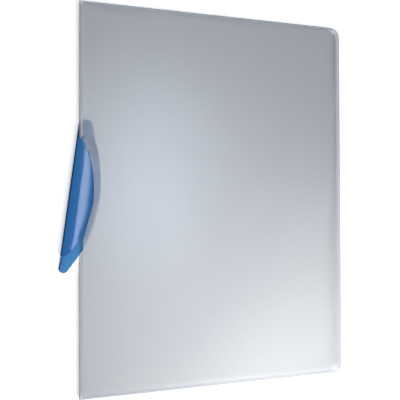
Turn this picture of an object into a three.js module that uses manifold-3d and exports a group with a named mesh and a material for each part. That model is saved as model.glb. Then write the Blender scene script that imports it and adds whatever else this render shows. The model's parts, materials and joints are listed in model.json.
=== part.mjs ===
// A clip folder, A4 upright: one folded sheet of frosted polypropylene, and a blue clip that swings out of
// the spine on a rivet. It lies shut on its back cover, with the clip swung a little way out.
//
// Millimetres. +X runs from the spine to the fore-edge, +Y up the page, +Z from the back cover to the front.
// The origin is the middle of the back cover's underside.

import * as THREE from "three";
import { mergeVertices } from "three/addons/utils/BufferGeometryUtils.js";
import Module from "manifold-3d";

const wasm = await Module();
wasm.setup();

// The folded sheet
const SHEET_WIDTH = 225;
const SHEET_HEIGHT = 305;
const SHEET_THICKNESS = 0.5;
const FOLD_RADIUS = 1.0;
const FORE_EDGE_CORNER_RADIUS = 8.5;
const CREASE_FROM_SPINE = 2.2;
const CREASE_GAP = 0.3;

// The crescent cut-out in the front cover, a thumb's way to the clip
const CUTOUT_RADIUS = 96.6;
const CUTOUT_DEPTH = 11.2;
const CUTOUT_ABOVE_JAW_MIDDLE = 2.3;
const CUTOUT_TOP_BELOW_PIVOT = 7.6;
const CUTOUT_SHOULDER_BELOW_PIVOT = 16;
const CUTOUT_SLANT_TOP_BELOW_PIVOT = 62;
const CUTOUT_SLANT_TOP_INSET = 1.2;
const CUTOUT_SLANT_LENGTH = 25.5;
const CUTOUT_PAST_CREASE = 0.8;
const CUTOUT_PAST_JAW_FOOT = 3.75;
const CUTOUT_FOOT_RADIUS = 2.6;

// The clip, in its own frame: the pivot is at 0,0 and the straight back runs along -Y
const PIVOT_FROM_SPINE = 5.2;
const PIVOT_Y = 56;
const REST_SWING = 7.63;
const CLIP_END_RADIUS = 5.6;
const CLIP_WALL = 1.2;
const JAW_LENGTH = 100.6;
const JAW_WIDTH = 23.4;
const JAW_THICKNESS = 1.0;
const JAW_ARC_RADIUS = 68;
const JAW_SHOULDER_Y = -21.5;
const JAW_TOP_SLANT = 36.6;
const JAW_FOOT_RISE = 15.6;
const JAW_FOOT_FLAT = 2.2;
const JAW_FOOT_CONTROL = 6.1;
const JAW_CREASE_FROM_BACK = 7.5;
const JAW_SLOPE_POWER = 1.6;
const PLATE_WIDTH = 23.2;
const PLATE_THICKNESS = 1.0;
const PLATE_ARC_RADIUS = 117;
const PLATE_BELOW_JAW_MIDDLE = 3.85;
const PLATE_ARC_TOP_Y = -7;
const PLATE_ARC_FOOT_ABOVE_JAW_FOOT = 4.6;
const TIP_RADIUS = 3.6;
const TIP_SLANT = 28.5;
const PAGE_GAP = 2.7;
const NIP_GAP = 0.4;

// The rivet
const RIVET_SHANK_RADIUS = 2.0;
const RIVET_FOOT_RADIUS = 4.2;
const RIVET_FOOT_THICKNESS = 0.45;
const RIVET_HEAD_RADIUS = 3.4;
const RIVET_HEAD_THICKNESS = 0.9;
const RIVET_CROWN_RADIUS = 1.9;
const RIVET_FOOT_RECESS = 0.15;

// Clearances
const LAYER_CLEARANCE = 0.3;
const BORE_CLEARANCE = 0.3;
const SIDE_CLEARANCE = 0.4;
const SLOT_CLEARANCE = 0.9;
const OVERCUT = 1;

// Places worked out from the sizes
const spineX = -SHEET_WIDTH / 2;
const foreEdgeX = SHEET_WIDTH / 2;
const topY = SHEET_HEIGHT / 2;
const pivotX = spineX + PIVOT_FROM_SPINE;
const plateBottom = SHEET_THICKNESS + LAYER_CLEARANCE;
const plateTop = plateBottom + PLATE_THICKNESS;
const jawBottom = plateTop + PAGE_GAP;
const jawTop = jawBottom + JAW_THICKNESS;
const frontUnderside = jawTop + LAYER_CLEARANCE;
const frontTop = frontUnderside + SHEET_THICKNESS;
const dimpleDepth = RIVET_FOOT_THICKNESS + RIVET_FOOT_RECESS;
const dimpleTop = dimpleDepth + SHEET_THICKNESS;
const padBottom = dimpleTop + LAYER_CLEARANCE;
const padTop = padBottom + PLATE_THICKNESS;
const dimpleRadius = RIVET_FOOT_RADIUS + SIDE_CLEARANCE;
const bossRadius = dimpleRadius + SHEET_THICKNESS;
const padRecessRadius = bossRadius + SIDE_CLEARANCE;
const padRadius = padRecessRadius + PLATE_THICKNESS;
const boreRadius = RIVET_SHANK_RADIUS + BORE_CLEARANCE;
const clipBackX = -CLIP_END_RADIUS;
const jawCreaseX = clipBackX + JAW_CREASE_FROM_BACK;
const jawArcX = clipBackX + JAW_WIDTH - JAW_ARC_RADIUS;
const jawArcY = -JAW_LENGTH / 2;
const jawArcFootY = -JAW_LENGTH + JAW_FOOT_RISE;
const plateArcX = clipBackX + PLATE_WIDTH - PLATE_ARC_RADIUS;
const plateArcY = jawArcY - PLATE_BELOW_JAW_MIDDLE;
const plateArcFootY = -JAW_LENGTH + PLATE_ARC_FOOT_ABOVE_JAW_FOOT;

const DEGREE = Math.PI / 180;
const ARC_STEPS = 12;
const LONG_ARC_STEPS = 36;
const ROUND_STEPS = 40;

// Turns a closed geometry into a solid that can be joined and cut.
function solid(geometry) {
  const bare = geometry.clone();
  bare.deleteAttribute("normal");
  bare.deleteAttribute("uv");
  const welded = mergeVertices(bare, 1e-4);
  return new wasm.Manifold(
    new wasm.Mesh({
      numProp: 3,
      vertProperties: welded.attributes.position.array,
      triVerts: new Uint32Array(welded.index.array),
    }),
  );
}

// Turns a solid back into a mesh with a name and a material.
function meshOf(name, body, material) {
  const data = body.getMesh();
  const geometry = new THREE.BufferGeometry();
  geometry.setAttribute("position", new THREE.BufferAttribute(data.vertProperties, 3));
  geometry.setIndex(new THREE.BufferAttribute(data.triVerts, 1));
  geometry.computeVertexNormals();
  const mesh = new THREE.Mesh(geometry, material);
  mesh.name = name;
  return mesh;
}

// An outline in the XY plane, raised from one height to another.
function prism(shape, bottom, top, steps = ARC_STEPS) {
  const geometry = new THREE.ExtrudeGeometry(shape, {
    depth: top - bottom,
    bevelEnabled: false,
    curveSegments: steps,
  });
  geometry.translate(0, 0, bottom);
  return solid(geometry);
}

// A box between two corners.
function block(x0, x1, y0, y1, z0, z1) {
  const geometry = new THREE.BoxGeometry(x1 - x0, y1 - y0, z1 - z0);
  geometry.translate((x0 + x1) / 2, (y0 + y1) / 2, (z0 + z1) / 2);
  return solid(geometry);
}

// A round disc that stands on the XY plane's normal at x, y.
function disc(x, y, radius, bottom, top) {
  const geometry = new THREE.CylinderGeometry(radius, radius, top - bottom, ROUND_STEPS);
  geometry.rotateX(Math.PI / 2);
  geometry.translate(x, y, (bottom + top) / 2);
  return solid(geometry);
}

// The outline of a cover from a line near the spine to its rounded fore-edge corners.
function coverShape(nearX) {
  const r = FORE_EDGE_CORNER_RADIUS;
  const shape = new THREE.Shape();
  shape.moveTo(nearX, -topY);
  shape.lineTo(foreEdgeX - r, -topY);
  shape.absarc(foreEdgeX - r, -topY + r, r, -Math.PI / 2, 0, false);
  shape.lineTo(foreEdgeX, topY - r);
  shape.absarc(foreEdgeX - r, topY - r, r, 0, Math.PI / 2, false);
  shape.lineTo(nearX, topY);
  shape.closePath();
  return shape;
}

// The crescent, from its foot up: a round corner, a straight rise beside the crease, a slant, a bend at its
// deepest place, a long arc and a blunt shoulder.
function cutoutShape() {
  const arcX = spineX + CUTOUT_DEPTH - CUTOUT_RADIUS;
  const arcY = PIVOT_Y + jawArcY + CUTOUT_ABOVE_JAW_MIDDLE;
  const top = PIVOT_Y - CUTOUT_TOP_BELOW_PIVOT;
  const shoulder = PIVOT_Y - CUTOUT_SHOULDER_BELOW_PIVOT;
  const foot = PIVOT_Y - JAW_LENGTH - CUTOUT_PAST_JAW_FOOT;
  const creaseX = spineX + CREASE_FROM_SPINE;
  const footX = creaseX + CUTOUT_PAST_CREASE;
  const r = CUTOUT_FOOT_RADIUS;
  const outside = spineX - OVERCUT;
  const deepX = arcX + CUTOUT_RADIUS;
  const slantTop = PIVOT_Y - CUTOUT_SLANT_TOP_BELOW_PIVOT;
  const slantX = deepX - CUTOUT_SLANT_TOP_INSET;
  const bendY = slantTop + (CUTOUT_SLANT_TOP_INSET * CUTOUT_SLANT_LENGTH) / (slantX - footX);
  const shoulderAngle = Math.asin((shoulder - arcY) / CUTOUT_RADIUS);
  const shape = new THREE.Shape();
  shape.moveTo(outside, foot);
  shape.lineTo(footX - r, foot);
  shape.absarc(footX - r, foot + r, r, -Math.PI / 2, 0, false);
  shape.lineTo(footX, slantTop - CUTOUT_SLANT_LENGTH);
  shape.lineTo(slantX, slantTop);
  shape.quadraticCurveTo(deepX, bendY, deepX, arcY);
  shape.absarc(arcX, arcY, CUTOUT_RADIUS, 0, shoulderAngle, false);
  shape.quadraticCurveTo(creaseX, top - CREASE_FROM_SPINE, outside, top);
  shape.closePath();
  return shape;
}

// The sheet's section at the spine: back cover, spine panel and the strip returned onto the front.
function spineSection() {
  const t = SHEET_THICKNESS;
  const h = frontTop;
  const r = FOLD_RADIUS;
  const inner = r - t;
  const joinX = spineX + CREASE_FROM_SPINE + OVERCUT;
  const stripEnd = spineX + CREASE_FROM_SPINE - CREASE_GAP / 2;
  const shape = new THREE.Shape();
  shape.moveTo(joinX, 0);
  shape.lineTo(joinX, t);
  shape.lineTo(spineX + r, t);
  shape.absarc(spineX + r, r, inner, -Math.PI / 2, -Math.PI, true);
  shape.lineTo(spineX + t, h - r);
  shape.absarc(spineX + r, h - r, inner, Math.PI, Math.PI / 2, true);
  shape.lineTo(stripEnd, h - t);
  shape.lineTo(stripEnd, h);
  shape.lineTo(spineX + r, h);
  shape.absarc(spineX + r, h - r, r, Math.PI / 2, Math.PI, false);
  shape.lineTo(spineX, r);
  shape.absarc(spineX + r, r, r, Math.PI, Math.PI * 1.5, false);
  shape.closePath();
  return shape;
}

// An extrusion whose section lies in the XZ plane and whose length runs along Y.
function alongY(shape, low, high) {
  const geometry = new THREE.ExtrudeGeometry(shape, {
    depth: high - low,
    bevelEnabled: false,
    curveSegments: ARC_STEPS,
  });
  geometry.rotateX(Math.PI / 2);
  geometry.translate(0, high, 0);
  return solid(geometry);
}

// The X at which each of the clip's two long arcs stands, at a place along the clip.
function plateEdge(y) {
  return plateArcX + Math.sqrt(PLATE_ARC_RADIUS ** 2 - (y - plateArcY) ** 2);
}

function jawEdge(y) {
  return jawArcX + Math.sqrt(Math.max(JAW_ARC_RADIUS ** 2 - (y - jawArcY) ** 2, 0));
}

// The plate's tip is a round between the straight back and a slant that starts at the arc's foot.
const slantAcross = Math.cos(TIP_SLANT * DEGREE);
const slantAlong = Math.sin(TIP_SLANT * DEGREE);
const tipX = clipBackX + TIP_RADIUS;
const tipY = plateArcFootY + (TIP_RADIUS + (tipX - plateEdge(plateArcFootY)) * slantAcross) / slantAlong;
const clipReach = Math.hypot(tipX, tipY) + TIP_RADIUS;

// The jaw's top edge slants from its shoulder to the back, clear of the rivet's head.
const jawTopY = JAW_SHOULDER_Y + (jawEdge(JAW_SHOULDER_Y) - clipBackX) / Math.tan(JAW_TOP_SLANT * DEGREE);

// The back cover with its spine panels, the slot that the clip swings through, and the rivet's dimple.
function backCover() {
  const slotTop = PIVOT_Y + CLIP_END_RADIUS + SLOT_CLEARANCE;
  const slotFoot = PIVOT_Y - clipReach - SLOT_CLEARANCE;
  const slotDepth = spineX + FOLD_RADIUS + OVERCUT;
  return prism(coverShape(spineX + CREASE_FROM_SPINE), 0, SHEET_THICKNESS)
    .add(alongY(spineSection(), -topY, topY))
    .subtract(block(spineX - OVERCUT, slotDepth, slotFoot, slotTop, SHEET_THICKNESS, frontUnderside))
    .subtract(prism(cutoutShape(), frontUnderside - OVERCUT, frontTop + OVERCUT, LONG_ARC_STEPS))
    .add(disc(pivotX, PIVOT_Y, bossRadius, 0, dimpleTop))
    .subtract(disc(pivotX, PIVOT_Y, dimpleRadius, -OVERCUT, dimpleDepth))
    .subtract(disc(pivotX, PIVOT_Y, boreRadius, -OVERCUT, dimpleTop + OVERCUT));
}

// The front cover, from the crease to the fore-edge, less the crescent.
function frontCover() {
  const nearX = spineX + CREASE_FROM_SPINE + CREASE_GAP / 2;
  return prism(coverShape(nearX), frontUnderside, frontTop).subtract(
    prism(cutoutShape(), frontUnderside - OVERCUT, frontTop + OVERCUT, LONG_ARC_STEPS),
  );
}

// The clip's rear plate: a round end at the pivot, a long arc inside the folder and a slanted, rounded tip.
function plateShape() {
  const arcTopX = plateEdge(PLATE_ARC_TOP_Y);
  const arcTopAngle = Math.asin((PLATE_ARC_TOP_Y - plateArcY) / PLATE_ARC_RADIUS);
  const arcFootAngle = Math.asin((plateArcFootY - plateArcY) / PLATE_ARC_RADIUS);
  const reach = Math.hypot(arcTopX, PLATE_ARC_TOP_Y);
  const tangentAngle = Math.atan2(PLATE_ARC_TOP_Y, arcTopX) + Math.acos(CLIP_END_RADIUS / reach);
  const shape = new THREE.Shape();
  shape.moveTo(clipBackX, 0);
  shape.lineTo(clipBackX, tipY);
  shape.absarc(tipX, tipY, TIP_RADIUS, Math.PI, Math.PI * 2 - TIP_SLANT * DEGREE, false);
  shape.absarc(plateArcX, plateArcY, PLATE_ARC_RADIUS, arcFootAngle, arcTopAngle, false);
  shape.absarc(0, 0, CLIP_END_RADIUS, tangentAngle, Math.PI, false);
  return shape;
}

// The front jaw's outline: a slanted top, a long arc inside the folder and a foot with a round corner.
function jawShape() {
  const shoulderAngle = Math.asin((JAW_SHOULDER_Y - jawArcY) / JAW_ARC_RADIUS);
  const footAngle = Math.asin((jawArcFootY - jawArcY) / JAW_ARC_RADIUS);
  const controlX = clipBackX + JAW_FOOT_CONTROL;
  const shape = new THREE.Shape();
  shape.moveTo(clipBackX, jawTopY);
  shape.lineTo(clipBackX, -JAW_LENGTH);
  shape.lineTo(clipBackX + JAW_FOOT_FLAT, -JAW_LENGTH);
  shape.quadraticCurveTo(controlX, -JAW_LENGTH, jawEdge(jawArcFootY), jawArcFootY);
  shape.absarc(jawArcX, jawArcY, JAW_ARC_RADIUS, footAngle, shoulderAngle, false);
  shape.closePath();
  return shape;
}

// The jaw's sheet: flat from the back to a straight crease, then bent down in a growing curve towards the
// pages, and deepest where the jaw is widest.
function jawSheet() {
  const across = 14;
  const along = 28;
  const fullWidth = JAW_WIDTH - JAW_CREASE_FROM_BACK;
  const fullDrop = PAGE_GAP - NIP_GAP;
  const back = clipBackX - OVERCUT;
  const length = JAW_LENGTH + 2 * OVERCUT;
  const geometry = new THREE.BoxGeometry(1, length, 1, across, along, 1);
  const position = geometry.attributes.position;
  for (let i = 0; i < position.count; i += 1) {
    const u = position.getX(i) + 0.5;
    const y = position.getY(i) - JAW_LENGTH / 2;
    const isTop = position.getZ(i) > 0;
    const width = Math.max(jawEdge(y) - jawCreaseX, OVERCUT);
    const flat = Math.min(2 * u, 1);
    const bend = Math.max(2 * u - 1, 0);
    const x = back + (jawCreaseX - back) * flat + (width + OVERCUT) * bend;
    const share = Math.max(x - jawCreaseX, 0) / width;
    const drop = (fullDrop * width) / fullWidth;
    const z = (isTop ? jawTop : jawBottom) - drop * Math.min(share, 1) ** JAW_SLOPE_POWER;
    position.setXYZ(i, x, y, z);
  }
  return solid(geometry);
}

// The clip, moulded in one: rear plate, back wall and front jaw, with a raised pad over the rivet's boss.
function clip() {
  const plate = prism(plateShape(), plateBottom, plateTop, LONG_ARC_STEPS);
  const outline = prism(plateShape(), plateBottom, padTop, LONG_ARC_STEPS);
  const pad = disc(0, 0, padRadius, plateBottom, padTop).intersect(outline);
  const wall = block(
    clipBackX,
    clipBackX + CLIP_WALL,
    -JAW_LENGTH,
    jawTopY - CLIP_WALL,
    plateBottom + PLATE_THICKNESS / 2,
    jawTop - JAW_THICKNESS / 2,
  );
  const jaw = jawSheet().intersect(prism(jawShape(), plateTop, jawTop + OVERCUT, LONG_ARC_STEPS));
  return plate
    .add(pad)
    .add(wall)
    .add(jaw)
    .subtract(disc(0, 0, padRecessRadius, plateBottom - OVERCUT, padBottom))
    .subtract(disc(0, 0, boreRadius, plateBottom - OVERCUT, padTop + OVERCUT));
}

// The rivet, turned about its own axis: a flat foot in the dimple, a shank and a low crowned head.
function rivet() {
  const footBottom = dimpleDepth - RIVET_FOOT_THICKNESS;
  const headBottom = padTop + LAYER_CLEARANCE;
  const headTop = headBottom + RIVET_HEAD_THICKNESS;
  const profile = [
    new THREE.Vector2(0, footBottom),
    new THREE.Vector2(RIVET_FOOT_RADIUS, footBottom),
    new THREE.Vector2(RIVET_FOOT_RADIUS, dimpleDepth),
    new THREE.Vector2(RIVET_SHANK_RADIUS, dimpleDepth),
    new THREE.Vector2(RIVET_SHANK_RADIUS, headBottom),
    new THREE.Vector2(RIVET_HEAD_RADIUS, headBottom),
    new THREE.Vector2(RIVET_HEAD_RADIUS, headBottom + RIVET_HEAD_THICKNESS / 2),
    new THREE.Vector2(RIVET_CROWN_RADIUS, headTop),
    new THREE.Vector2(0, headTop),
  ];
  const geometry = new THREE.LatheGeometry(profile, ROUND_STEPS);
  geometry.rotateX(Math.PI / 2);
  return solid(geometry);
}

const frosted = { color: 0xc3ccd8, roughness: 0.4, metalness: 0, transparent: true, opacity: 0.6 };
const folder = new THREE.Group();
folder.add(meshOf("back_cover", backCover(), new THREE.MeshStandardMaterial(frosted)));
folder.add(meshOf("front_cover", frontCover(), new THREE.MeshStandardMaterial(frosted)));

const rivetMaterial = new THREE.MeshStandardMaterial({ color: 0x2f6fa8, roughness: 0.35, metalness: 0 });
const rivetMesh = meshOf("pivot_rivet", rivet(), rivetMaterial);
rivetMesh.position.set(pivotX, PIVOT_Y, 0);
folder.add(rivetMesh);

const clipMaterial = new THREE.MeshStandardMaterial({ color: 0x2d6aae, roughness: 0.3, metalness: 0 });
const clipMesh = meshOf("clip", clip(), clipMaterial);
const swing = new THREE.Group();
swing.position.set(pivotX, PIVOT_Y, 0);
swing.rotation.z = -REST_SWING * DEGREE;
swing.add(clipMesh);
folder.add(swing);

export default folder;
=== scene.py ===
# %% [markdown]
# A clip folder lies shut on a pale floor. It is one folded sheet of frosted plastic, with a blue clip that
# swings out of the spine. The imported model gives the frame: its pieces, their sizes and the joints. This
# script makes what the eye sees around that frame, so it measures the frame first.

# %% Load the frame
import json
import math

import bmesh
import bpy
from mathutils import Matrix, Vector


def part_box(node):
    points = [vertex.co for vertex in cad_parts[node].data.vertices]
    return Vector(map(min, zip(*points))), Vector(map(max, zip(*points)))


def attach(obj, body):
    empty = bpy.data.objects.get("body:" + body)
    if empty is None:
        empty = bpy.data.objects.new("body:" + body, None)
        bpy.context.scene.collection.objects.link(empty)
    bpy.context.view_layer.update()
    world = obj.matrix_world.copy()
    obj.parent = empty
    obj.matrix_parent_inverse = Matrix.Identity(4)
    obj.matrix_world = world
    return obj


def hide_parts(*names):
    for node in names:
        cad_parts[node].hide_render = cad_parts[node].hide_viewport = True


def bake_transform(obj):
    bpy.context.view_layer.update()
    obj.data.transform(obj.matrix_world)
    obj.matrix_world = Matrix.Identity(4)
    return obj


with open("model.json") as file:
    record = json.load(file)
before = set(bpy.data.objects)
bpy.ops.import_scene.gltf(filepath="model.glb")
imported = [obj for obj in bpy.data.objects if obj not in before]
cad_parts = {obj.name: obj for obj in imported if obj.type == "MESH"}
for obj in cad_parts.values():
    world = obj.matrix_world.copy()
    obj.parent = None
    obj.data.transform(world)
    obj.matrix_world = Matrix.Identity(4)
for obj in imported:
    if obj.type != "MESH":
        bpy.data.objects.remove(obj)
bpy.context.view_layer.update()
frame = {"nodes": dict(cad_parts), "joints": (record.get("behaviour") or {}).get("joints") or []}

# %% [markdown]
# Every place is worked out from the frame. The joints say where the clip's pivot and the cover's crease are,
# and the covers' boxes say how thick the sheet is and how far it reaches. Three small lengths are used all
# through: points nearer than WELD are joined, a cut snaps within CUT, and places within CLOSE count as one.

# %% Places taken from the frame
MM = 0.001
WELD = 0.002 * MM
CUT = 0.001 * MM
CLOSE = 0.01 * MM

back_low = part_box("back_cover")[0]
front_low, front_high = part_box("front_cover")
clip_low, clip_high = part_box("clip")
rivet_low, rivet_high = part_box("pivot_rivet")
joints = {joint["name"]: joint for joint in frame["joints"]}
swing_joint = joints["clip_swing"]
cover_joint = joints["front_cover_open"]
pivot = Vector(swing_joint["pos_m"])
rest_swing = math.radians(swing_joint["range_deg"][1])
crease_x = cover_joint["pos_m"][0]
sheet_thickness = front_high.z - front_low.z
spine_x = back_low.x
print("sheet thickness in mm:", round(sheet_thickness / MM, 3))
print("clip stands out by", round(math.degrees(rest_swing), 2), "degrees")

# %% [markdown]
# Outlines are drawn as with a pen. A bmesh starts from one point, and the pen extrudes that point along a
# line, or spins it round a centre for an arc. This keeps an outline as short as its drawing: only corners
# and radii are written down, and the operators make the points between them.

# %% The pen
def line_to(bm, start, x, y):
    end = bmesh.ops.extrude_vert_indiv(bm, verts=[start])["verts"][0]
    end.co.x = x
    end.co.y = y
    return end


def arc_to(bm, start, centre_x, centre_y, degrees, steps):
    spun = bmesh.ops.spin(
        bm,
        geom=[start],
        cent=(centre_x, centre_y, start.co.z),
        axis=(0, 0, 1),
        angle=math.radians(degrees),
        steps=steps,
        use_duplicate=False,
    )
    return spun["geom_last"][0]


def curve_to(bm, start, control_x, control_y, end_x, end_y, steps):
    first = start.co.copy()
    here = start
    for step in range(1, steps + 1):
        t = step / steps
        x = (1 - t) ** 2 * first.x + 2 * t * (1 - t) * control_x + t * t * end_x
        y = (1 - t) ** 2 * first.y + 2 * t * (1 - t) * control_y + t * t * end_y
        here = line_to(bm, here, x, y)
    return here


def fill_outline(bm):
    bmesh.ops.remove_doubles(bm, verts=bm.verts[:], dist=WELD)
    bmesh.ops.triangle_fill(bm, use_beauty=True, use_dissolve=False, edges=bm.edges[:])
    bmesh.ops.recalc_face_normals(bm, faces=bm.faces[:])


# %% [markdown]
# Each finished bmesh becomes an object at the origin, with its place in its mesh. The front cover, the clip
# and the rivet ride on bodies of the frame. Moulded and cut edges are never knife sharp, so a small bevel
# catches the light along them.

# %% From bmesh to a piece
pieces = {}


def make_piece(name, bm, replaced=()):
    mesh = bpy.data.meshes.new(name)
    bm.to_mesh(mesh)
    bm.free()
    piece = bpy.data.objects.new(name, mesh)
    bpy.context.scene.collection.objects.link(piece)
    for node in replaced:
        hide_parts(node)
    pieces[name] = piece
    print(name, "has", len(mesh.vertices), "points and", len(mesh.polygons), "faces")
    return piece


def shade_smooth(piece, degrees):
    for polygon in piece.data.polygons:
        polygon.use_smooth = True
    piece.data.set_sharp_from_angle(angle=math.radians(degrees))


def soften_rim(bm, width, segments, degrees):
    rim = [edge for edge in bm.edges if edge.calc_face_angle(0) > math.radians(degrees)]
    bmesh.ops.bevel(
        bm,
        geom=rim,
        offset=width,
        offset_type="OFFSET",
        affect="EDGES",
        segments=segments,
        profile=0.5,
        material=-1,
        clamp_overlap=True,
    )


# %% [markdown]
# The front cover is cut from flat sheet: rounded corners at the fore-edge, and a crescent at the spine that
# bares the clip. It could be cut with a boolean, but one outline drawn round the whole cover leaves a clean
# flat face. The pen draws past the crease, and bisecting the face there trims it to a straight edge.

# %% The front cover's sizes
CORNER_RADIUS = 8.5 * MM
CUTOUT_RADIUS = 96.6 * MM
CUTOUT_DEPTH = 11.2 * MM
CUTOUT_MIDDLE_BELOW_PIVOT = 48.0 * MM
CUTOUT_TOP_BELOW_PIVOT = 7.6 * MM
CUTOUT_SHOULDER_BELOW_PIVOT = 16 * MM
CUTOUT_SLANT_TOP_BELOW_PIVOT = 62 * MM
CUTOUT_SLANT_TOP_INSET = 1.2 * MM
CUTOUT_SLANT_LENGTH = 25.5 * MM
CUTOUT_FOOT_BELOW_PIVOT = 104.35 * MM
CUTOUT_FOOT_RADIUS = 2.6 * MM
CUTOUT_FOOT_PAST_CREASE = 0.8 * MM
WEB_HALF_WIDTH = 0.7 * MM
SHEET_EDGE_SOFTNESS = 0.08 * MM
PEN_START_BEFORE_SPINE = 1 * MM
SHOULDER_STEPS = 12
CRESCENT_STEPS = 36
SLANT_STEPS = 10
FOOT_STEPS = 8
CORNER_STEPS = 12

crease_from_spine = crease_x - spine_x
print("the crease lies", round(crease_from_spine / MM, 2), "mm in from the spine")

# %% [markdown]
# The crescent begins with a soft shoulder, runs on as a long arc, and ends in a straight slant and a small
# round. The pen leaves it open towards the spine, because the trim at the crease closes it.

# %% Draw the front cover
def draw_crescent(bm, start):
    arc_x = spine_x + CUTOUT_DEPTH - CUTOUT_RADIUS
    arc_y = pivot.y - CUTOUT_MIDDLE_BELOW_PIVOT
    top = pivot.y - CUTOUT_TOP_BELOW_PIVOT
    shoulder = pivot.y - CUTOUT_SHOULDER_BELOW_PIVOT
    foot = pivot.y - CUTOUT_FOOT_BELOW_PIVOT
    foot_x = crease_x + CUTOUT_FOOT_PAST_CREASE
    deep_x = arc_x + CUTOUT_RADIUS
    slant_top = pivot.y - CUTOUT_SLANT_TOP_BELOW_PIVOT
    slant_x = deep_x - CUTOUT_SLANT_TOP_INSET
    bend_y = slant_top + CUTOUT_SLANT_TOP_INSET * CUTOUT_SLANT_LENGTH / (slant_x - foot_x)
    shoulder_angle = math.asin((shoulder - arc_y) / CUTOUT_RADIUS)
    shoulder_x = arc_x + CUTOUT_RADIUS * math.cos(shoulder_angle)
    here = line_to(bm, start, start.co.x, top)
    here = curve_to(bm, here, crease_x, top - crease_from_spine, shoulder_x, shoulder, SHOULDER_STEPS)
    here = arc_to(bm, here, arc_x, arc_y, -math.degrees(shoulder_angle), CRESCENT_STEPS)
    here = curve_to(bm, here, deep_x, bend_y, slant_x, slant_top, SLANT_STEPS)
    here = line_to(bm, here, foot_x, slant_top - CUTOUT_SLANT_LENGTH)
    here = line_to(bm, here, foot_x, foot + CUTOUT_FOOT_RADIUS)
    here = arc_to(bm, here, foot_x - CUTOUT_FOOT_RADIUS, foot + CUTOUT_FOOT_RADIUS, -90, FOOT_STEPS)
    return line_to(bm, here, start.co.x, foot)


def draw_cover(bm):
    left = spine_x - PEN_START_BEFORE_SPINE
    corner_x = front_high.x - CORNER_RADIUS
    foot_corner_y = front_low.y + CORNER_RADIUS
    top_corner_y = front_high.y - CORNER_RADIUS
    first = bm.verts.new((left, front_high.y, front_low.z))
    here = draw_crescent(bm, first)
    here = line_to(bm, here, left, front_low.y)
    here = line_to(bm, here, corner_x, front_low.y)
    here = arc_to(bm, here, corner_x, foot_corner_y, 90, CORNER_STEPS)
    here = line_to(bm, here, front_high.x, top_corner_y)
    here = arc_to(bm, here, corner_x, top_corner_y, 90, CORNER_STEPS)
    bm.edges.new((here, first))


def trim_left_of(bm, x):
    whole = bm.verts[:] + bm.edges[:] + bm.faces[:]
    bmesh.ops.bisect_plane(
        bm, geom=whole, dist=CUT, plane_co=(x, 0, 0), plane_no=(1, 0, 0), clear_inner=True
    )


cover_bm = bmesh.new()
draw_cover(cover_bm)
fill_outline(cover_bm)
trim_left_of(cover_bm, crease_x + WEB_HALF_WIDTH)
raised = bmesh.ops.extrude_face_region(cover_bm, geom=cover_bm.faces[:])
raised_points = [item for item in raised["geom"] if isinstance(item, bmesh.types.BMVert)]
bmesh.ops.translate(cover_bm, verts=raised_points, vec=(0, 0, sheet_thickness))
bmesh.ops.recalc_face_normals(cover_bm, faces=cover_bm.faces[:])
soften_rim(cover_bm, SHEET_EDGE_SOFTNESS, segments=2, degrees=60)
front_sheet = make_piece("front_sheet", cover_bm, ["front_cover"])
shade_smooth(front_sheet, degrees=5)
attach(front_sheet, "front")

# %% [markdown]
# Where the front cover meets the spine, the sheet is pressed thin into a living hinge, and the crease is
# given a pale line: a painted highlight for the light that the pressed groove catches. On the folder the web
# bends as the cover opens; here it is a piece of its own: a small grid, waisted in the middle.

# %% The hinge web
WEB_WAIST = 0.5
WEB_COLUMNS = 8
WEB_ROWS = 12
WEB_START_BEFORE_CREASE = 0.15 * MM

strip_edge_x = crease_x - WEB_START_BEFORE_CREASE
web_end_x = crease_x + WEB_HALF_WIDTH


def make_web(name, y_low, y_high):
    bm = bmesh.new()
    bmesh.ops.create_grid(bm, x_segments=WEB_COLUMNS, y_segments=WEB_ROWS, size=0.5)
    middle = (strip_edge_x + web_end_x) / 2
    bmesh.ops.scale(bm, verts=bm.verts[:], vec=(web_end_x - strip_edge_x, y_high - y_low, 1))
    bmesh.ops.translate(bm, verts=bm.verts[:], vec=(middle, (y_low + y_high) / 2, front_low.z))
    raised = bmesh.ops.extrude_face_region(bm, geom=bm.faces[:])
    top_points = [item for item in raised["geom"] if isinstance(item, bmesh.types.BMVert)]
    bmesh.ops.translate(bm, verts=top_points, vec=(0, 0, sheet_thickness))
    for point in bm.verts:
        across = (point.co.x - middle) / (web_end_x - middle)
        waist = 1 - WEB_WAIST * (1 - across * across)
        centre = front_low.z + sheet_thickness / 2
        point.co.z = centre + (point.co.z - centre) * waist
    bmesh.ops.recalc_face_normals(bm, faces=bm.faces[:])
    web = make_piece(name, bm)
    shade_smooth(web, degrees=50)
    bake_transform(web)
    return web


crescent_top = pivot.y - CUTOUT_TOP_BELOW_PIVOT
crescent_foot = pivot.y - CUTOUT_FOOT_BELOW_PIVOT
upper_web = make_web("hinge_web_upper", crescent_top, front_high.y)
lower_web = make_web("hinge_web_lower", front_low.y, crescent_foot)

# %% [markdown]
# The clip is moulded with an even wall: a rear plate that stays inside the folder, a back wall, and a front
# jaw that bears down on the pages. A moulding like this reads as a folded sheet, so it is drawn as one: the
# two outlines share the straight back, a wall joins them, and Solidify gives the whole thing its thickness
# inwards. Separate blocks would leave walls inside the see-through plastic, and those would show.

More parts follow.
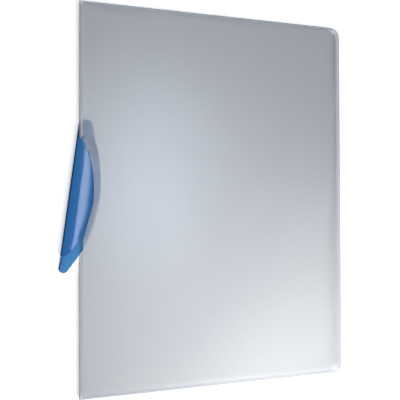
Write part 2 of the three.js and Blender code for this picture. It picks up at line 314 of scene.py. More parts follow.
# %% The clip's sizes, with the pivot at its own origin
END_RADIUS = 5.6 * MM
CLIP_WALL = 1.2 * MM
CLIP_RIM_ROUND = 0.26 * MM
JAW_LENGTH = 100.6 * MM
JAW_WIDTH = 23.4 * MM
JAW_ARC_RADIUS = 68 * MM
JAW_SHOULDER_Y = -21.5 * MM
JAW_TOP_SLANT = math.radians(36.6)
JAW_FOOT_RISE = 15.6 * MM
JAW_FOOT_FLAT = 2.2 * MM
JAW_FOOT_CONTROL = 6.1 * MM
JAW_CREASE_FROM_BACK = 7.5 * MM
JAW_DROP = 2.3 * MM
JAW_KINK_SHARE = 0.4
PLATE_WIDTH = 23.2 * MM
PLATE_ARC_RADIUS = 117 * MM
PLATE_BELOW_JAW_MIDDLE = 3.85 * MM
PLATE_ARC_TOP_Y = -7 * MM
PLATE_ARC_FOOT_ABOVE_JAW_FOOT = 4.6 * MM
TIP_RADIUS = 3.6 * MM
TIP_SLANT = math.radians(28.5)
PAD_RISE = 0.6 * MM
BORE_RADIUS = 2.3 * MM
OUTLINE_WELD = 0.02 * MM
END_STEPS = 28
LONG_ARC_STEPS = 44
TIP_STEPS = 16
JAW_FOOT_STEPS = 12
BORE_SIDES = 32

plate_z = clip_low.z
jaw_z = clip_high.z
back_x = -END_RADIUS
jaw_crease_x = back_x + JAW_CREASE_FROM_BACK
jaw_arc_x = back_x + JAW_WIDTH - JAW_ARC_RADIUS
jaw_arc_y = -JAW_LENGTH / 2
jaw_arc_foot_y = -JAW_LENGTH + JAW_FOOT_RISE
plate_arc_x = back_x + PLATE_WIDTH - PLATE_ARC_RADIUS
plate_arc_y = jaw_arc_y - PLATE_BELOW_JAW_MIDDLE
plate_arc_foot_y = -JAW_LENGTH + PLATE_ARC_FOOT_ABOVE_JAW_FOOT


def jaw_edge(y):
    return jaw_arc_x + math.sqrt(max(JAW_ARC_RADIUS**2 - (y - jaw_arc_y) ** 2, 0))


def plate_edge(y):
    return plate_arc_x + math.sqrt(PLATE_ARC_RADIUS**2 - (y - plate_arc_y) ** 2)


tip_x = back_x + TIP_RADIUS
tip_gap = TIP_RADIUS + (tip_x - plate_edge(plate_arc_foot_y)) * math.cos(TIP_SLANT)
tip_y = plate_arc_foot_y + tip_gap / math.sin(TIP_SLANT)
jaw_top_y = JAW_SHOULDER_Y + (jaw_edge(JAW_SHOULDER_Y) - back_x) / math.tan(JAW_TOP_SLANT)
print("the jaw runs from", round(jaw_top_y / MM, 2), "to", round(-JAW_LENGTH / MM, 2), "mm")

# %% [markdown]
# The rear plate's outline goes round the pivot's end, down the long arc that lies inside the folder, and
# round the tip. It is filled with one many-sided face, because a face like that can be cut into clean
# strips later, where a fan of thin triangles would leave splinters.

# %% Draw the rear plate
def draw_plate(bm):
    arc_top_x = plate_edge(PLATE_ARC_TOP_Y)
    reach = math.hypot(arc_top_x, PLATE_ARC_TOP_Y)
    tangent = math.atan2(PLATE_ARC_TOP_Y, arc_top_x) + math.acos(END_RADIUS / reach)
    top_angle = math.asin((PLATE_ARC_TOP_Y - plate_arc_y) / PLATE_ARC_RADIUS)
    foot_angle = math.asin((plate_arc_foot_y - plate_arc_y) / PLATE_ARC_RADIUS)
    first = bm.verts.new((back_x, -JAW_LENGTH, plate_z))
    here = line_to(bm, first, back_x, jaw_top_y)
    here = line_to(bm, here, back_x, 0)
    here = arc_to(bm, here, 0, 0, math.degrees(tangent) - 180, END_STEPS)
    here = line_to(bm, here, arc_top_x, PLATE_ARC_TOP_Y)
    along_arc = math.degrees(foot_angle - top_angle)
    here = arc_to(bm, here, plate_arc_x, plate_arc_y, along_arc, LONG_ARC_STEPS)
    slant_x = tip_x + TIP_RADIUS * math.cos(TIP_SLANT)
    slant_y = tip_y - TIP_RADIUS * math.sin(TIP_SLANT)
    here = line_to(bm, here, slant_x, slant_y)
    here = arc_to(bm, here, tip_x, tip_y, math.degrees(TIP_SLANT) - 180, TIP_STEPS)
    bm.edges.new((here, first))


clip_bm = bmesh.new()
draw_plate(clip_bm)
bmesh.ops.remove_doubles(clip_bm, verts=clip_bm.verts[:], dist=OUTLINE_WELD)
bmesh.ops.edgeloop_fill(clip_bm, edges=clip_bm.edges[:])
print("the plate's outline has", len(clip_bm.edges), "edges")

# %% [markdown]
# The wall is the plate's straight back edge, extruded upwards. The jaw's outline starts and ends on the
# wall's top edge, so the two meet in one fold.

# %% Raise the wall and draw the jaw
def on_line(point, x, y):
    return abs(point.co.x - x) < CLOSE and abs(point.co.y - y) < CLOSE


def back_edge_of(bm, z):
    for edge in bm.edges:
        from_top = any(on_line(v, back_x, jaw_top_y) for v in edge.verts)
        to_foot = any(on_line(v, back_x, -JAW_LENGTH) for v in edge.verts)
        at_height = all(abs(v.co.z - z) < CLOSE for v in edge.verts)
        if from_top and to_foot and at_height:
            return edge
    raise ValueError("the straight back edge is missing")


def draw_jaw(bm, top, foot):
    shoulder_angle = math.asin((JAW_SHOULDER_Y - jaw_arc_y) / JAW_ARC_RADIUS)
    foot_angle = math.asin((jaw_arc_foot_y - jaw_arc_y) / JAW_ARC_RADIUS)
    here = line_to(bm, top, jaw_edge(JAW_SHOULDER_Y), JAW_SHOULDER_Y)
    along_arc = math.degrees(foot_angle - shoulder_angle)
    here = arc_to(bm, here, jaw_arc_x, jaw_arc_y, along_arc, LONG_ARC_STEPS)
    control_x = back_x + JAW_FOOT_CONTROL
    flat_x = back_x + JAW_FOOT_FLAT
    here = curve_to(bm, here, control_x, -JAW_LENGTH, flat_x, -JAW_LENGTH, JAW_FOOT_STEPS)
    bm.edges.new((here, foot))


straight_back = back_edge_of(clip_bm, plate_z)
risen = bmesh.ops.extrude_edge_only(clip_bm, edges=[straight_back])
risen_points = [item for item in risen["geom"] if isinstance(item, bmesh.types.BMVert)]
bmesh.ops.translate(clip_bm, verts=risen_points, vec=(0, 0, jaw_z - plate_z))
wall_top = back_edge_of(clip_bm, jaw_z)
top_point = max(wall_top.verts, key=lambda v: v.co.y)
foot_point = min(wall_top.verts, key=lambda v: v.co.y)
draw_jaw(clip_bm, top_point, foot_point)
jaw_rim = [edge for edge in clip_bm.edges if not edge.link_faces] + [wall_top]
bmesh.ops.edgeloop_fill(clip_bm, edges=jaw_rim)
bmesh.ops.recalc_face_normals(clip_bm, faces=clip_bm.faces[:])
print("plate, wall and jaw have", len(clip_bm.faces), "faces")

# %% [markdown]
# Flat faces can't bend, so bisecting cuts the jaw and the plate's round end into strips. Then each point is
# lowered or raised by a formula: the jaw slopes down from a straight crease towards the pages, deepest
# where it is widest, and the plate steps up over the boss that holds the rivet.

# %% Bend the jaw and step the plate
STRIPS_ACROSS = 16
STRIPS_ALONG = 30
STEP_STRIPS = 6
NARROWEST_SLOPE = 1 * MM
STEP_TOP_Y = -5.7 * MM
STEP_FOOT_Y = -7.4 * MM
X_AXIS = 0
Y_AXIS = 1


def cut_strips(bm, chosen, axis, places):
    for place in places:
        faces = [face for face in bm.faces if chosen(face)]
        edges = {edge for face in faces for edge in face.edges}
        points = {point for face in faces for point in face.verts}
        middle = [0, 0, 0]
        middle[axis] = place
        normal = [0, 0, 0]
        normal[axis] = 1
        bmesh.ops.bisect_plane(
            bm,
            geom=list(points) + list(edges) + faces,
            dist=CUT,
            plane_co=middle,
            plane_no=normal,
        )


def in_jaw(face):
    return all(v.co.z > jaw_z - CLOSE for v in face.verts)


def in_jaw_or_wall(face):
    return any(v.co.z > jaw_z - CLOSE for v in face.verts)


def in_plate(face):
    return all(v.co.z < plate_z + CLOSE for v in face.verts)


def steps_between(low, high, count):
    return [low + (high - low) * step / count for step in range(count + 1)]


jaw_width = JAW_WIDTH - JAW_CREASE_FROM_BACK
across_jaw = steps_between(jaw_crease_x, back_x + JAW_WIDTH, STRIPS_ACROSS)
along_jaw = steps_between(-JAW_LENGTH, jaw_top_y, STRIPS_ALONG)[1:-1]
cut_strips(clip_bm, in_jaw, X_AXIS, across_jaw)
cut_strips(clip_bm, in_jaw_or_wall, Y_AXIS, along_jaw)
cut_strips(clip_bm, in_plate, Y_AXIS, steps_between(STEP_FOOT_Y, STEP_TOP_Y, STEP_STRIPS))


def jaw_drop(x, y):
    width = max(jaw_edge(y) - jaw_crease_x, NARROWEST_SLOPE)
    share = min(max(x - jaw_crease_x, 0) / width, 1)
    bend = JAW_KINK_SHARE * share + (1 - JAW_KINK_SHARE) * share * share
    return JAW_DROP * width / jaw_width * bend


def pad_rise(y):
    share = min(max((y - STEP_FOOT_Y) / (STEP_TOP_Y - STEP_FOOT_Y), 0), 1)
    return PAD_RISE * share * share * (3 - 2 * share)


for point in clip_bm.verts:
    if point.co.z > jaw_z - CLOSE:
        point.co.z -= jaw_drop(point.co.x, point.co.y)
    elif point.co.z < plate_z + CLOSE:
        point.co.z += pad_rise(point.co.y)
print("the bent clip has", len(clip_bm.faces), "faces")

# %% [markdown]
# The rivet's bore goes through the plate's round end. That end is one flat face: it is taken away, a ring
# is drawn round the pivot, and the gap between ring and rim is filled again.

# %% Open the bore
def at_pad_height(face):
    return all(abs(v.co.z - plate_z - PAD_RISE) < CLOSE for v in face.verts)


def near_pivot(face):
    return at_pad_height(face) and min(v.co.y for v in face.verts) > STEP_TOP_Y - CLOSE


end_faces = [face for face in clip_bm.faces if near_pivot(face)]
end_rim = list({edge for face in end_faces for edge in face.edges})
bmesh.ops.delete(clip_bm, geom=end_faces, context="FACES_ONLY")
bore = bmesh.ops.create_circle(clip_bm, cap_ends=False, segments=BORE_SIDES, radius=BORE_RADIUS)
bmesh.ops.translate(clip_bm, verts=bore["verts"], vec=(0, 0, plate_z + PAD_RISE))
bore_edges = list({edge for point in bore["verts"] for edge in point.link_edges})
bmesh.ops.triangle_fill(clip_bm, use_beauty=True, use_dissolve=False, edges=end_rim + bore_edges)
bmesh.ops.recalc_face_normals(clip_bm, faces=clip_bm.faces[:])
print("the bore took away", len(end_faces), "face")

# %% [markdown]
# The clip is turned to where it rests in the frame. Then two modifiers finish it: Solidify gives the sheet
# its wall, inwards, and Bevel rounds every rim and both folds a little, as a mould does. Bevel gives its
# faces the clip's second material, a deeper blue painted on as the shade clear plastic shows along its
# edges.

# %% Put the clip in place and give it a wall
turn = Matrix.Translation((pivot.x, pivot.y, 0)) @ Matrix.Rotation(-rest_swing, 4, "Z")
bmesh.ops.transform(clip_bm, matrix=turn, verts=clip_bm.verts[:])
lowest = min(clip_bm.faces, key=lambda face: face.calc_center_median().z)
if lowest.normal.z > 0:
    bmesh.ops.reverse_faces(clip_bm, faces=clip_bm.faces[:])
clip_moulding = make_piece("clip_moulding", clip_bm, ["clip"])
shade_smooth(clip_moulding, degrees=35)
wall = clip_moulding.modifiers.new("even wall", "SOLIDIFY")
wall.thickness = CLIP_WALL
wall.offset = -1
wall.use_even_offset = True
rim = clip_moulding.modifiers.new("soft rim", "BEVEL")
rim.width = CLIP_RIM_ROUND
rim.segments = 3
rim.limit_method = "ANGLE"
rim.angle_limit = math.radians(50)
# The Bevel faces take the second material, the painted rim shade.
rim.material = 1
rim.use_clamp_overlap = False
rim.harden_normals = True
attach(clip_moulding, "clip")

# %% [markdown]
# The rivet is a turned part. Half of its section is drawn beside the axis and spun once round it: a flat
# foot in the cover's dimple, a shank through the clip and a low domed head.

# %% The rivet
SHANK_RADIUS = 2.0 * MM
FOOT_RADIUS = 4.2 * MM
FOOT_THICKNESS = 0.45 * MM
HEAD_RADIUS = 3.4 * MM
HEAD_THICKNESS = 0.9 * MM
HEAD_RIM_DOWN = 0.55 * HEAD_THICKNESS
CROWN_DOWN = 0.1 * HEAD_THICKNESS
CROWN_RADIUS = 0.62 * HEAD_RADIUS
RIVET_SIDES = 48
RIVET_RIM_ROUND = 0.12 * MM

rivet_bm = bmesh.new()
here = rivet_bm.verts.new((0, 0, rivet_low.z))
section = [
    (FOOT_RADIUS, rivet_low.z),
    (FOOT_RADIUS, rivet_low.z + FOOT_THICKNESS),
    (SHANK_RADIUS, rivet_low.z + FOOT_THICKNESS),
    (SHANK_RADIUS, rivet_high.z - HEAD_THICKNESS),
    (HEAD_RADIUS, rivet_high.z - HEAD_THICKNESS),
    (HEAD_RADIUS, rivet_high.z - HEAD_RIM_DOWN),
    (CROWN_RADIUS, rivet_high.z - CROWN_DOWN),
    (0, rivet_high.z),
]
for radius, height in section:
    here = bmesh.ops.extrude_vert_indiv(rivet_bm, verts=[here])["verts"][0]
    here.co = (radius, 0, height)
bmesh.ops.spin(
    rivet_bm,
    geom=rivet_bm.verts[:] + rivet_bm.edges[:],
    cent=(0, 0, 0),
    axis=(0, 0, 1),
    angle=math.tau,
    steps=RIVET_SIDES,
    use_merge=True,
)
bmesh.ops.remove_doubles(rivet_bm, verts=rivet_bm.verts[:], dist=WELD)
bmesh.ops.recalc_face_normals(rivet_bm, faces=rivet_bm.faces[:])
soften_rim(rivet_bm, RIVET_RIM_ROUND, segments=2, degrees=40)
bmesh.ops.translate(rivet_bm, verts=rivet_bm.verts[:], vec=(pivot.x, pivot.y, 0))
rivet = make_piece("turned_rivet", rivet_bm, ["pivot_rivet"])
shade_smooth(rivet, degrees=40)
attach(rivet, "back")

# %% [markdown]
# The finishes are made of nodes. A few short functions add the kinds that come back again and again, and
# new_group makes a node group with named inputs and outputs, so that a group reads like a tool of its own.

# %% Short functions for nodes
FLOAT = "NodeSocketFloat"
VECTOR = "NodeSocketVector"


def colour(red, green, blue):
    return (red, green, blue, 1)


def new_group(name, inputs, outputs):
    group = bpy.data.node_groups.new(name, "ShaderNodeTree")
    for socket_name, kind, value in inputs:
        socket = group.interface.new_socket(name=socket_name, in_out="INPUT", socket_type=kind)
        socket.default_value = value
    for socket_name in outputs:
        group.interface.new_socket(name=socket_name, in_out="OUTPUT", socket_type=FLOAT)
    return group


def add_math(nodes, operation):
    node = nodes.new("ShaderNodeMath")
    node.operation = operation
    return node


def add_vector_math(nodes, operation):
    node = nodes.new("ShaderNodeVectorMath")
    node.operation = operation
    return node


def add_fade(nodes, full_until, gone_from):
    fade = nodes.new("ShaderNodeMapRange")
    fade.interpolation_type = "SMOOTHSTEP"
    fade.inputs["From Min"].default_value = full_until
    fade.inputs["From Max"].default_value = gone_from
    fade.inputs["To Min"].default_value = 1
    fade.inputs["To Max"].default_value = 0
    return fade


def add_group(material, group):
    node = material.node_tree.nodes.new("ShaderNodeGroup")
    node.node_tree = group
    return node


def tint_where(material, mask, tint):
    nodes, links = material.node_tree.nodes, material.node_tree.links
    shader = nodes["Principled BSDF"]
    plain = shader.inputs["Base Color"].links[0].from_socket
    mix = nodes.new("ShaderNodeMix")
    mix.data_type = "RGBA"
    mix.inputs["B"].default_value = tint
    links.new(mask.outputs["Mask"], mix.inputs["Factor"])
    links.new(plain, mix.inputs["A"])
    links.new(mix.outputs["Result"], shader.inputs["Base Color"])


# %% [markdown]
# Sheet and moulding share one effect: the fine grain that a polished or etched tool leaves, which changes
# the surface's height and gloss a little from place to place. It is a node group, built once, and each
# material sets its own scale and strength. It reads Object coordinates, so it stays put in every view.

# %% The tool-grain group
tool_grain = new_group(
    "tool grain",
    inputs=[
        ("Grain per metre", FLOAT, 3000),
        ("Cloud per metre", FLOAT, 14),
        ("Gloss low", FLOAT, 0.3),
        ("Gloss high", FLOAT, 0.4),
    ],
    outputs=["Height", "Cloud", "Roughness"],
)


def fill_tool_grain(tree):
    nodes, links = tree.nodes, tree.links
    given = nodes.new("NodeGroupInput")
    result = nodes.new("NodeGroupOutput")
    place = nodes.new("ShaderNodeTexCoord")
    grain = nodes.new("ShaderNodeTexNoise")
    grain.inputs["Detail"].default_value = 3
    cloud = nodes.new("ShaderNodeTexNoise")
    cloud.inputs["Detail"].default_value = 2
    spread = nodes.new("ShaderNodeMapRange")
    links.new(place.outputs["Object"], grain.inputs["Vector"])
    links.new(place.outputs["Object"], cloud.inputs["Vector"])
    links.new(given.outputs["Grain per metre"], grain.inputs["Scale"])
    links.new(given.outputs["Cloud per metre"], cloud.inputs["Scale"])
    links.new(cloud.outputs["Fac"], spread.inputs["Value"])
    links.new(given.outputs["Gloss low"], spread.inputs["To Min"])
    links.new(given.outputs["Gloss high"], spread.inputs["To Max"])
    links.new(grain.outputs["Fac"], result.inputs["Height"])
    links.new(cloud.outputs["Fac"], result.inputs["Cloud"])
    links.new(spread.outputs["Result"], result.inputs["Roughness"])


fill_tool_grain(tool_grain)
print("the grain group has", len(tool_grain.nodes), "nodes")

# %% [markdown]
# Every plastic here is a Principled shader with that group before it. Two colours a shade apart are mixed
# by the slow cloud, because no sheet is perfectly even, and the fine grain feeds a bump.

# %% A plastic with grain
def plastic(name, tint, deep_tint, grain, cloud, gloss, bump_height):
    material = bpy.data.materials.new(name)
    material.use_nodes = True
    nodes, links = material.node_tree.nodes, material.node_tree.links
    shader = nodes["Principled BSDF"]
    group = add_group(material, tool_grain)
    group.inputs["Grain per metre"].default_value = grain
    group.inputs["Cloud per metre"].default_value = cloud
    group.inputs["Gloss low"].default_value = gloss[0]
    group.inputs["Gloss high"].default_value = gloss[1]
    mix = nodes.new("ShaderNodeMix")
    mix.data_type = "RGBA"
    mix.inputs["A"].default_value = tint
    mix.inputs["B"].default_value = deep_tint
    bump = nodes.new("ShaderNodeBump")
    bump.inputs["Distance"].default_value = bump_height
    links.new(group.outputs["Cloud"], mix.inputs["Factor"])
    links.new(mix.outputs["Result"], shader.inputs["Base Color"])
    links.new(group.outputs["Roughness"], shader.inputs["Roughness"])
    links.new(group.outputs["Height"], bump.inputs["Height"])
    links.new(bump.outputs["Normal"], shader.inputs["Normal"])
    return material, shader


# %% [markdown]
# Frosted polypropylene is a window with a veil over it. Transmission Weight sets how much of a window it
# is, and Roughness how far it scatters what it lets through: things that touch the sheet stay clear and
# things behind it go soft. A transparent shader would show both just as sharp. The coat is the veil, a broad
# soft sheen. Both covers are one plastic, given in a lighter and a darker copy: the front cover is paler and
# clearer, painted light so that the clip shows through it less shaded, and the back cover is darker, painted
# shade that carries the sheet's grey.

# %% The frosted sheet
FROST_BUMP = 0.004 * MM
FROST_GRAIN = 2600
VEIL_ROUGHNESS = 0.42


def frosted_sheet(name, tint, deep_tint, window):
    material, shader = plastic(
        name, tint, deep_tint, grain=FROST_GRAIN, cloud=9, gloss=(0.30, 0.34), bump_height=FROST_BUMP
    )
    shader.inputs["Transmission Weight"].default_value = window
    shader.inputs["Coat Weight"].default_value = 1
    shader.inputs["Coat Roughness"].default_value = VEIL_ROUGHNESS
    shader.inputs["IOR"].default_value = 1.49
    return material


# The back cover's darker tint is painted shade.
frosted_back = frosted_sheet(
    "frosted sheet, back",
    tint=colour(0.715, 0.73, 0.768),
    deep_tint=colour(0.73, 0.745, 0.778),
    window=0.8,
)
# The front cover's paler, clearer tint is painted light.
frosted_front = frosted_sheet(
    "frosted sheet, front",
    tint=colour(0.90, 0.91, 0.918),
    deep_tint=colour(0.91, 0.92, 0.925),
    window=0.96,
)
print("frosted finishes:", frosted_back.name, "and", frosted_front.name)

# %% [markdown]
# Near its free edges the front cover is seen against the bare floor, past the back cover's edge, and would
# get a pale border. On a real empty folder the covers touch there, but in the imported model both lie flat,
# and a bent sheet would part from its solid. So a mask finds that border by its distance from the fore-edge
# and from the top and foot, and a deeper tint goes there as painted shade. The tint is matched to this
# camera: seen from straight above, it shows as a darker frame round the sheet.

# %% The free-edge painted shade mask
edge_shade_mask = new_group(
    "free-edge mask",
    inputs=[
        ("Corner", VECTOR, (0.1, 0.1, 0)),
        ("Reach", VECTOR, (0.005, 0.003, 1)),
    ],
    outputs=["Mask"],
)


def fill_edge_shade_mask(tree):
    nodes, links = tree.nodes, tree.links
    given = nodes.new("NodeGroupInput")
    result = nodes.new("NodeGroupOutput")
    place = nodes.new("ShaderNodeTexCoord")
    split_place = nodes.new("ShaderNodeSeparateXYZ")
    split_corner = nodes.new("ShaderNodeSeparateXYZ")
    split_reach = nodes.new("ShaderNodeSeparateXYZ")
    height = add_math(nodes, "ABSOLUTE")
    gap_x = add_math(nodes, "SUBTRACT")
    gap_y = add_math(nodes, "SUBTRACT")
    share_x = add_math(nodes, "DIVIDE")
    share_y = add_math(nodes, "DIVIDE")
    nearest = add_math(nodes, "MINIMUM")
    fade = add_fade(nodes, full_until=0.5, gone_from=1.5)
    links.new(place.outputs["Object"], split_place.inputs["Vector"])
    links.new(given.outputs["Corner"], split_corner.inputs["Vector"])
    links.new(given.outputs["Reach"], split_reach.inputs["Vector"])
    links.new(split_place.outputs["Y"], height.inputs[0])
    links.new(split_corner.outputs["X"], gap_x.inputs[0])
    links.new(split_place.outputs["X"], gap_x.inputs[1])
    links.new(split_corner.outputs["Y"], gap_y.inputs[0])
    links.new(height.outputs["Value"], gap_y.inputs[1])
    links.new(gap_x.outputs["Value"], share_x.inputs[0])
    links.new(split_reach.outputs["X"], share_x.inputs[1])
    links.new(gap_y.outputs["Value"], share_y.inputs[0])
    links.new(split_reach.outputs["Y"], share_y.inputs[1])
    links.new(share_x.outputs["Value"], nearest.inputs[0])
    links.new(share_y.outputs["Value"], nearest.inputs[1])
    links.new(nearest.outputs["Value"], fade.inputs["Value"])
    links.new(fade.outputs["Result"], result.inputs["Mask"])


BORDER_AT_FORE_EDGE = 5.2 * MM
BORDER_AT_TOP_AND_FOOT = 2.8 * MM

fill_edge_shade_mask(edge_shade_mask)
free_edge_shade = add_group(frosted_front, edge_shade_mask)
free_edge_shade.inputs["Corner"].default_value = (front_high.x, front_high.y, 0)
free_edge_shade.inputs["Reach"].default_value = (BORDER_AT_FORE_EDGE, BORDER_AT_TOP_AND_FOOT, 1)
# The deeper tint on this border is painted shade.
tint_where(frosted_front, free_edge_shade, colour(0.41, 0.43, 0.46))
print("the free-edge mask has", len(edge_shade_mask.nodes), "nodes")

# %% [markdown]
# The crease is the same plastic with a paler colour: a painted highlight for the light its groove catches.
# It lets less light through and sends more back, so it is a paler and less clear version of the sheet.

# %% The crease's painted highlight
# The paler tint below is a painted highlight on the crease.
crease_highlight, crease_highlight_shader = plastic(
    "whitened crease",
    tint=colour(0.80, 0.83, 0.88),
    deep_tint=colour(0.84, 0.87, 0.91),
    grain=FROST_GRAIN,
    cloud=60,
    gloss=(0.4, 0.5),
    bump_height=FROST_BUMP,
)
crease_highlight_shader.inputs["Transmission Weight"].default_value = 0.4
print("crease finish:", crease_highlight.name)

# %% [markdown]
# The clip is clear blue plastic. Its colour is partly on its surface and partly in its depth: Volume
# Absorption takes away more red and green the further the light travels in it. Surface colour alone would
# look painted, and depth alone would leave the thin walls too pale. A deeper blue of the same kind goes on
# the rounded rims as painted shade, where clear plastic looks darkest.

# %% The blue plastic
CLIP_GRAIN = 1800
CLIP_BUMP = 0.0001 * MM
ABSORPTION_PER_METRE = 1000


def clear_blue(name, tint, deep_tint):
    material, shader = plastic(
        name, tint, deep_tint, grain=CLIP_GRAIN, cloud=40, gloss=(0.11, 0.15), bump_height=CLIP_BUMP
    )
    shader.inputs["Transmission Weight"].default_value = 0.68
    shader.inputs["Specular IOR Level"].default_value = 0.065
    shader.inputs["IOR"].default_value = 1.5
    nodes, links = material.node_tree.nodes, material.node_tree.links
    depth = nodes.new("ShaderNodeVolumeAbsorption")
    depth.inputs["Color"].default_value = colour(0.45, 0.5, 0.62)
    depth.inputs["Density"].default_value = ABSORPTION_PER_METRE
    links.new(depth.outputs["Volume"], nodes["Material Output"].inputs["Volume"])
    return material


blue = clear_blue(
    "clear blue plastic",
    tint=colour(0.065, 0.41, 0.96),
    deep_tint=colour(0.075, 0.43, 0.98),
)
# A deeper, nearly navy blue: painted shade for the clip's rims.
blue_rim_painted_shade = clear_blue(
    "blue plastic seen edge on",
    tint=colour(0.02, 0.12, 0.34),
    deep_tint=colour(0.025, 0.14, 0.38),
)
print("clip finishes:", blue.name, "and", blue_rim_painted_shade.name)

# %% [markdown]
# Two parts of the clip get another shade, painted on. The back wall is seen end on, through its whole
# height, and gets a nearly navy tint: painted shade. The rear plate is one thin layer, and gets a paler tint
# than the jaw with the plate under it: painted light. One mask finds both by distance from a plane: the
# wall's outer face, and the plate's underside. Materials given face by face would change at a hard line, but
# the mask fades.

# %% The near-plane mask, for painted light and shade
near_plane = new_group(
    "near-plane mask",
    inputs=[
        ("Plane point", VECTOR, (0, 0, 0)),
        ("Plane normal", VECTOR, (1, 0, 0)),
        ("Width", FLOAT, 1),
    ],
    outputs=["Mask"],
)


def fill_near_plane(tree):
    nodes, links = tree.nodes, tree.links
    given = nodes.new("NodeGroupInput")
    result = nodes.new("NodeGroupOutput")
    place = nodes.new("ShaderNodeTexCoord")
    offset = add_vector_math(nodes, "SUBTRACT")
    distance = add_vector_math(nodes, "DOT_PRODUCT")
    share = add_math(nodes, "DIVIDE")
    fade = add_fade(nodes, full_until=0.85, gone_from=1.1)
    links.new(place.outputs["Object"], offset.inputs[0])
    links.new(given.outputs["Plane point"], offset.inputs[1])
    links.new(offset.outputs["Vector"], distance.inputs[0])
    links.new(given.outputs["Plane normal"], distance.inputs[1])
    links.new(distance.outputs["Value"], share.inputs[0])
    links.new(given.outputs["Width"], share.inputs[1])
    links.new(share.outputs["Value"], fade.inputs["Value"])
    links.new(fade.outputs["Result"], result.inputs["Mask"])


def paint_light_and_shade_near_plane(material, point, normal, width, tint):
    mask = add_group(material, near_plane)
    mask.inputs["Plane point"].default_value = point
    mask.inputs["Plane normal"].default_value = normal
    mask.inputs["Width"].default_value = width
    tint_where(material, mask, tint)


PLATE_HEIGHT = 2.2 * MM
wall_point = turn @ Vector((back_x, 0, 0))
across_wall = turn.to_3x3() @ Vector((1, 0, 0))

fill_near_plane(near_plane)
# The plate's paler tint is painted light.
paint_light_and_shade_near_plane(blue, (0, 0, plate_z), (0, 0, 1), PLATE_HEIGHT, colour(0.15, 0.55, 1.0))
# The wall's navy tint is painted shade.
paint_light_and_shade_near_plane(blue, wall_point, across_wall, CLIP_WALL, colour(0.02, 0.12, 0.36))
print("the near-plane mask has", len(near_plane.nodes), "nodes")

# %% [markdown]
# The rivet is moulded from a denser blue, so it shows as a darker spot under the sheet. When all finishes
# are there, each piece gets its own, and the clip gets two: one for its faces and one for the painted shade
# on its rims. The back cover is the imported model's own solid, so only its material slot changes.

# %% Paint the pieces
rivet_blue, rivet_shader = plastic(
    "solid blue plastic",
    tint=colour(0.06, 0.2, 0.42),
    deep_tint=colour(0.07, 0.23, 0.46),
    grain=CLIP_GRAIN,
    cloud=200,
    gloss=(0.25, 0.35),
    bump_height=0.002 * MM,
)
rivet_shader.inputs["Transmission Weight"].default_value = 0.3


def paint(piece, *materials):
    piece.data.materials.clear()
    for material in materials:
        piece.data.materials.append(material)


paint(front_sheet, frosted_front)
paint(upper_web, crease_highlight)
paint(lower_web, crease_highlight)
paint(clip_moulding, blue, blue_rim_painted_shade)
paint(rivet, rivet_blue)
frame["nodes"]["back_cover"].material_slots[0].material = frosted_back
print("painted", len(pieces), "pieces and the back cover")

# %% [markdown]
# The camera stands above the folder's left edge and looks down on it at a slant, as close as a person
# bending over a table, so the far edge shrinks.

# %% The camera
CAMERA_PLACE = (-0.118395, -0.006031, 0.375921)
CAMERA_TURN_DEGREES = (0.84527, -15.358, -0.20496)
LENS_MM = 42.2737
FILM_WIDTH_MM = 36

camera_data = bpy.data.cameras.new("camera")
camera = bpy.data.objects.new("camera", camera_data)
bpy.context.scene.collection.objects.link(camera)
camera.location = CAMERA_PLACE
camera.rotation_euler = [math.radians(angle) for angle in CAMERA_TURN_DEGREES]
camera_data.lens = LENS_MM
camera_data.sensor_width = FILM_WIDTH_MM
bpy.context.scene.camera = camera
print("the camera is", round(camera.location.z, 3), "m above the floor")

# %% [markdown]
# The floor is a plain pale sweep. What the camera sees of it is white by its own colour: for camera,
# glossy and transmitted rays a little light is added to the lit floor, so it reads as white paper and
# still darkens where the folder shades it. Stronger lamps would whiten it too, but wash out the sheet.

# %% The floor
FLOOR_HALF_WIDTH = 4
FLOOR_BELOW = 0.2 * MM
PAPER_GREY = 0.88
PAPER_LIFT = 0.5

floor_bm = bmesh.new()
bmesh.ops.create_grid(floor_bm, x_segments=4, y_segments=4, size=FLOOR_HALF_WIDTH)
bmesh.ops.translate(floor_bm, verts=floor_bm.verts[:], vec=(0, 0, -FLOOR_BELOW))
floor_mesh = bpy.data.meshes.new("floor")
floor_bm.to_mesh(floor_mesh)
floor_bm.free()
floor = bpy.data.objects.new("floor", floor_mesh)
bpy.context.scene.collection.objects.link(floor)

paper = bpy.data.materials.new("white paper floor")
paper.use_nodes = True
nodes, links = paper.node_tree.nodes, paper.node_tree.links
paper_shader = nodes["Principled BSDF"]
paper_shader.inputs["Base Color"].default_value = colour(PAPER_GREY, PAPER_GREY, PAPER_GREY)
paper_shader.inputs["Roughness"].default_value = 0.9
paper_shader.inputs["Specular IOR Level"].default_value = 0.1
paper_shader.inputs["Emission Color"].default_value = colour(1, 1, 1)
ray = nodes.new("ShaderNodeLightPath")
seen = add_math(nodes, "MAXIMUM")
seen_through = add_math(nodes, "MAXIMUM")
lift = add_math(nodes, "MULTIPLY")
lift.inputs[1].default_value = PAPER_LIFT
links.new(ray.outputs["Is Camera Ray"], seen.inputs[0])
links.new(ray.outputs["Is Glossy Ray"], seen.inputs[1])
links.new(seen.outputs["Value"], seen_through.inputs[0])
links.new(ray.outputs["Is Transmission Ray"], seen_through.inputs[1])
links.new(seen_through.outputs["Value"], lift.inputs[0])
links.new(lift.outputs["Value"], paper_shader.inputs["Emission Strength"])
paint(floor, paper)
print("the floor is", 2 * FLOOR_HALF_WIDTH, "m wide")

# %% [markdown]
# The room is white, lighter towards the horizon and dim overhead, because the sheet mirrors what is
# overhead and would lose its tone under a bright ceiling. The camera itself sees plain white.

# %% The room
WALL_LIGHT = 0.3
CEILING_LIGHT = 0.03
WALL_UP_TO = 0.35
CEILING_FROM = 0.85

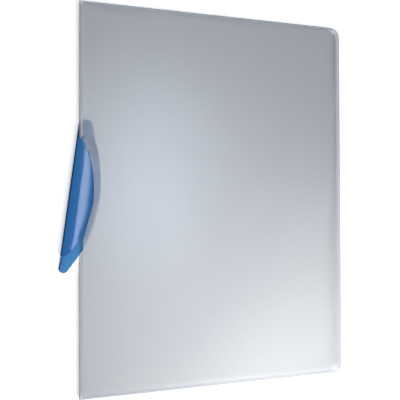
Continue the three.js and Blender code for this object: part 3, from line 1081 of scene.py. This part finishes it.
world = bpy.data.worlds.new("studio")
world.use_nodes = True
bpy.context.scene.world = world
nodes, links = world.node_tree.nodes, world.node_tree.links
room = nodes["Background"]
room.inputs["Color"].default_value = colour(1, 1, 1)
direction = nodes.new("ShaderNodeTexCoord")
split = nodes.new("ShaderNodeSeparateXYZ")
height = nodes.new("ShaderNodeMapRange")
height.interpolation_type = "SMOOTHSTEP"
height.inputs["From Min"].default_value = WALL_UP_TO
height.inputs["From Max"].default_value = CEILING_FROM
height.inputs["To Min"].default_value = WALL_LIGHT
height.inputs["To Max"].default_value = CEILING_LIGHT
links.new(direction.outputs["Generated"], split.inputs["Vector"])
links.new(split.outputs["Z"], height.inputs["Value"])
looking = nodes.new("ShaderNodeLightPath")
backdrop = nodes.new("ShaderNodeMix")
links.new(looking.outputs["Is Camera Ray"], backdrop.inputs["Factor"])
links.new(height.outputs["Result"], backdrop.inputs["A"])
backdrop.inputs["B"].default_value = 1
links.new(backdrop.outputs["Result"], room.inputs["Strength"])
print("the room's light goes from", WALL_LIGHT, "at the walls to", CEILING_LIGHT, "overhead")

# %% [markdown]
# Four soft boxes hang level above and beside the folder, all at one height. The cool one draws the highlight
# along the jaw. The large one is past the fore-edge and the foot, where the sheet mirrors it, so the sheet
# brightens towards that corner. Two small ones fill in, one beyond the foot and one at the side.

# %% The soft boxes
BOX_HEIGHT = 1.0
NEUTRAL = (1, 1, 1)
COOL = (0.8, 0.88, 1)


def soft_box(name, x, y, width, length, watts, turn_degrees=0, tint=NEUTRAL):
    data = bpy.data.lights.new(name, "AREA")
    data.shape = "RECTANGLE"
    data.size = width
    data.size_y = length
    data.energy = watts
    data.color = tint
    lamp = bpy.data.objects.new(name, data)
    bpy.context.scene.collection.objects.link(lamp)
    lamp.location = (x, y, BOX_HEIGHT)
    lamp.rotation_euler.z = math.radians(turn_degrees)
    lamp.visible_camera = False
    print(name, "gives", watts, "W")


soft_box("jaw box", 0.10, 0.06, width=0.2, length=0.54, watts=3.4, tint=COOL)
soft_box("foot box", 0.47, -0.60, width=0.7, length=0.36, watts=8.8, turn_degrees=42)
soft_box("foot fill", 0, -0.44, width=0.3, length=0.36, watts=0.9)
soft_box("side fill", 0.62, -0.12, width=0.32, length=0.3, watts=1.3)
bpy.context.scene.view_settings.view_transform = "Standard"
